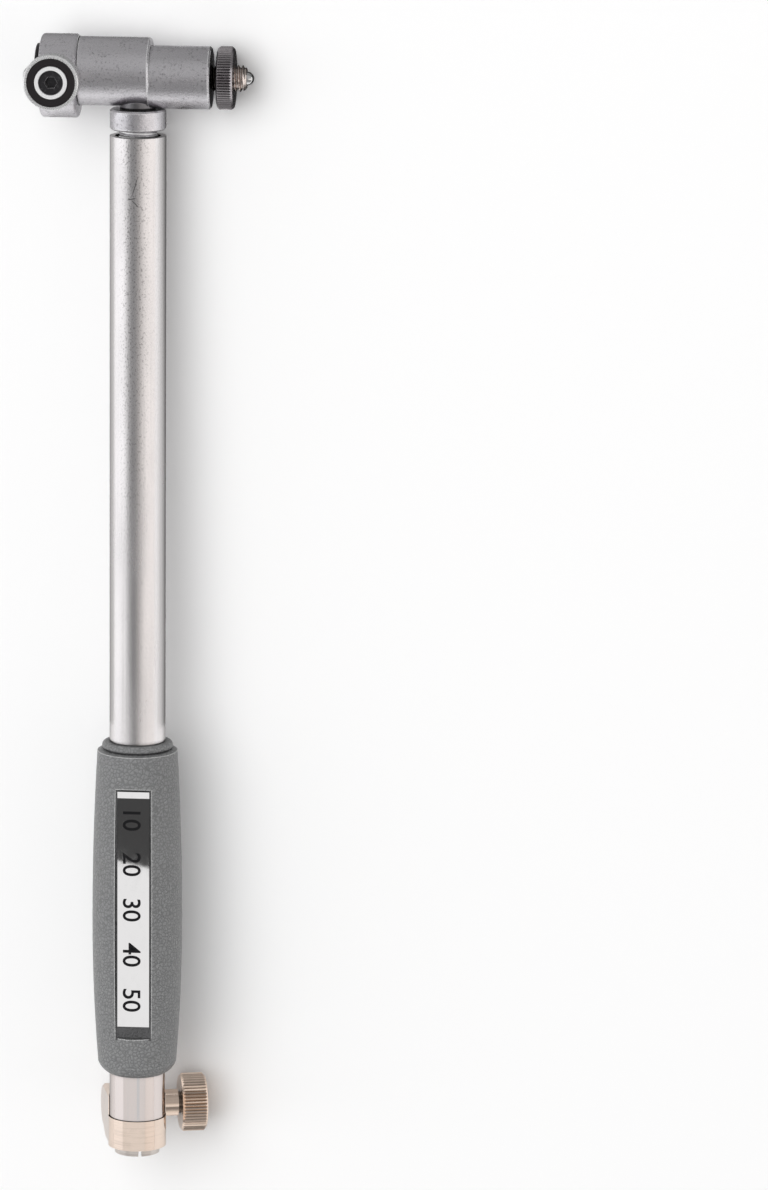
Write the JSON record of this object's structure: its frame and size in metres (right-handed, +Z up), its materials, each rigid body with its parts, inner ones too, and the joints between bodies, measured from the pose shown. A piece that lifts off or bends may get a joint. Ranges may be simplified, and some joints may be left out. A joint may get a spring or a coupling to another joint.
{
  "type": "dial bore gauge",
  "caption": "Two-point bore gauge with a roller-guided measuring head, a tubular stem, a moulded grip and a thumbscrew clamp for a dial indicator.",
  "frame": {"origin": "centre of the indicator bore's mouth, on the stem axis", "axes": "+Y along the stem towards the measuring head, +Z up from the table that the gauge lies on, +X towards the fixed anvil"},
  "size_m": [0.0518, 0.2581, 0.0302],
  "materials": {
    "satin_chrome": "satin",
    "blasted_nickel": "fine bead-blasted",
    "bright_nickel": "polished",
    "plated_steel": "bright",
    "hard_steel": "polished",
    "bearing_steel": "ground",
    "machined_steel": "turned",
    "spring_steel": "drawn wire",
    "brass": "turned",
    "black_steel": "black oxide",
    "seal_rubber": "moulded",
    "grip_plastic": "fine grain",
    "label_foil": "bright foil"
  },
  "bodies": {
    "stem": {"tube": "satin_chrome", "tube_insert": "brass", "neck_ring": "blasted_nickel", "head_body": "blasted_nickel", "lever_pin": "machined_steel", "contact_bush": "black_steel", "rod_guide": "brass", "rod_spring": "spring_steel", "bridge_spring": "spring_steel", "grip": "grip_plastic", "range_label": "label_foil", "split_sleeve": "machined_steel", "clamp_collar": "bright_nickel"},
    "contact": {"contact_plunger": "machined_steel", "contact_tip": "hard_steel"},
    "lever": {"transfer_lever": "machined_steel"},
    "rod": {"push_rod": "machined_steel", "rod_collar": "machined_steel"},
    "centring_bridge": {"bridge": "blasted_nickel", "front_inner_ring": "bearing_steel", "rear_inner_ring": "bearing_steel", "front_roller_screw": "black_steel", "rear_roller_screw": "black_steel"},
    "front_roller": {"front_outer_ring": "bearing_steel", "front_seals": "seal_rubber"},
    "front_ball_set": {"front_balls": "hard_steel"},
    "rear_roller": {"rear_outer_ring": "bearing_steel", "rear_seals": "seal_rubber"},
    "rear_ball_set": {"rear_balls": "hard_steel"},
    "anvil_carrier": {"anvil_ball": "hard_steel"},
    "anvil_rod": {"anvil": "plated_steel"},
    "nut": {"lock_nut": "plated_steel"},
    "clamp_screw": {"thumbscrew": "bright_nickel"}
  },
  "joints": [
    {"name": "rod_slide", "type": "slide", "parent": "stem", "child": "rod", "axis": [0, -0.999, 0.0455], "range_m": [0, 0.0016], "stiffness_N_per_m": 600, "springref_m": -0.004, "deforming": ["rod_spring"]},
    {"name": "contact_slide", "type": "slide", "parent": "stem", "child": "contact", "axis": [0.9835, -0.0082, -0.1808], "range_m": [0, 0.00161]},
    {"name": "lever_turn", "type": "hinge", "parent": "stem", "child": "lever", "pos_m": [-0.00393, 0.24438, -0.01042], "axis": [0.181, 0.0448, 0.9825], "range_deg": [-22.97, 0]},
    {"name": "bridge_slide", "type": "slide", "parent": "stem", "child": "centring_bridge", "axis": [0.9835, -0.0082, -0.1808], "range_m": [0, 0.003], "stiffness_N_per_m": 400, "springref_m": -0.004, "deforming": ["bridge_spring"]},
    {"name": "front_roller_spin", "type": "hinge", "parent": "centring_bridge", "child": "front_roller", "pos_m": [-0.0178, 0.24849, -0.00805], "axis": [0.181, 0.0448, 0.9825], "continuous": true},
    {"name": "front_ball_orbit", "type": "hinge", "parent": "centring_bridge", "child": "front_ball_set", "pos_m": [-0.0178, 0.24849, -0.00805], "axis": [0.181, 0.0448, 0.9825], "continuous": true},
    {"name": "rear_roller_spin", "type": "hinge", "parent": "centring_bridge", "child": "rear_roller", "pos_m": [-0.0178, 0.24849, -0.00805], "axis": [0.181, 0.0448, 0.9825], "continuous": true},
    {"name": "rear_ball_orbit", "type": "hinge", "parent": "centring_bridge", "child": "rear_ball_set", "pos_m": [-0.0178, 0.24849, -0.00805], "axis": [0.181, 0.0448, 0.9825], "continuous": true},
    {"name": "anvil_advance", "type": "slide", "parent": "stem", "child": "anvil_carrier", "axis": [0.9835, -0.0082, -0.1808], "range_m": [-0.001, 0.002]},
    {"name": "anvil_turn", "type": "hinge", "parent": "anvil_carrier", "child": "anvil_rod", "pos_m": [0.024, 0.24814, -0.01573], "axis": [0.9835, -0.0082, -0.1808], "range_deg": [-360.5, 720.5]},
    {"name": "nut_turn", "type": "hinge", "parent": "anvil_rod", "child": "nut", "pos_m": [0.024, 0.24814, -0.01573], "axis": [0.9835, -0.0082, -0.1808], "range_deg": [-360, 360]},
    {"name": "clamp_screw_turn", "type": "hinge", "parent": "stem", "child": "clamp_screw", "pos_m": [0.00626, 0.00778, -0.01387], "axis": [0.914, -0.0185, -0.4052], "range_deg": [0, 540]}
  ],
  "couplings": [
    {"joint": "contact_slide", "follows": "rod_slide", "ratio": 1},
    {"joint": "lever_turn", "follows": "rod_slide", "rad_per_m": -250},
    {"joint": "front_ball_orbit", "follows": "front_roller_spin", "ratio": 0.61236},
    {"joint": "rear_ball_orbit", "follows": "rear_roller_spin", "ratio": 0.61236},
    {"joint": "anvil_turn", "follows": "anvil_advance", "rad_per_m": 6283.2}
  ]
}
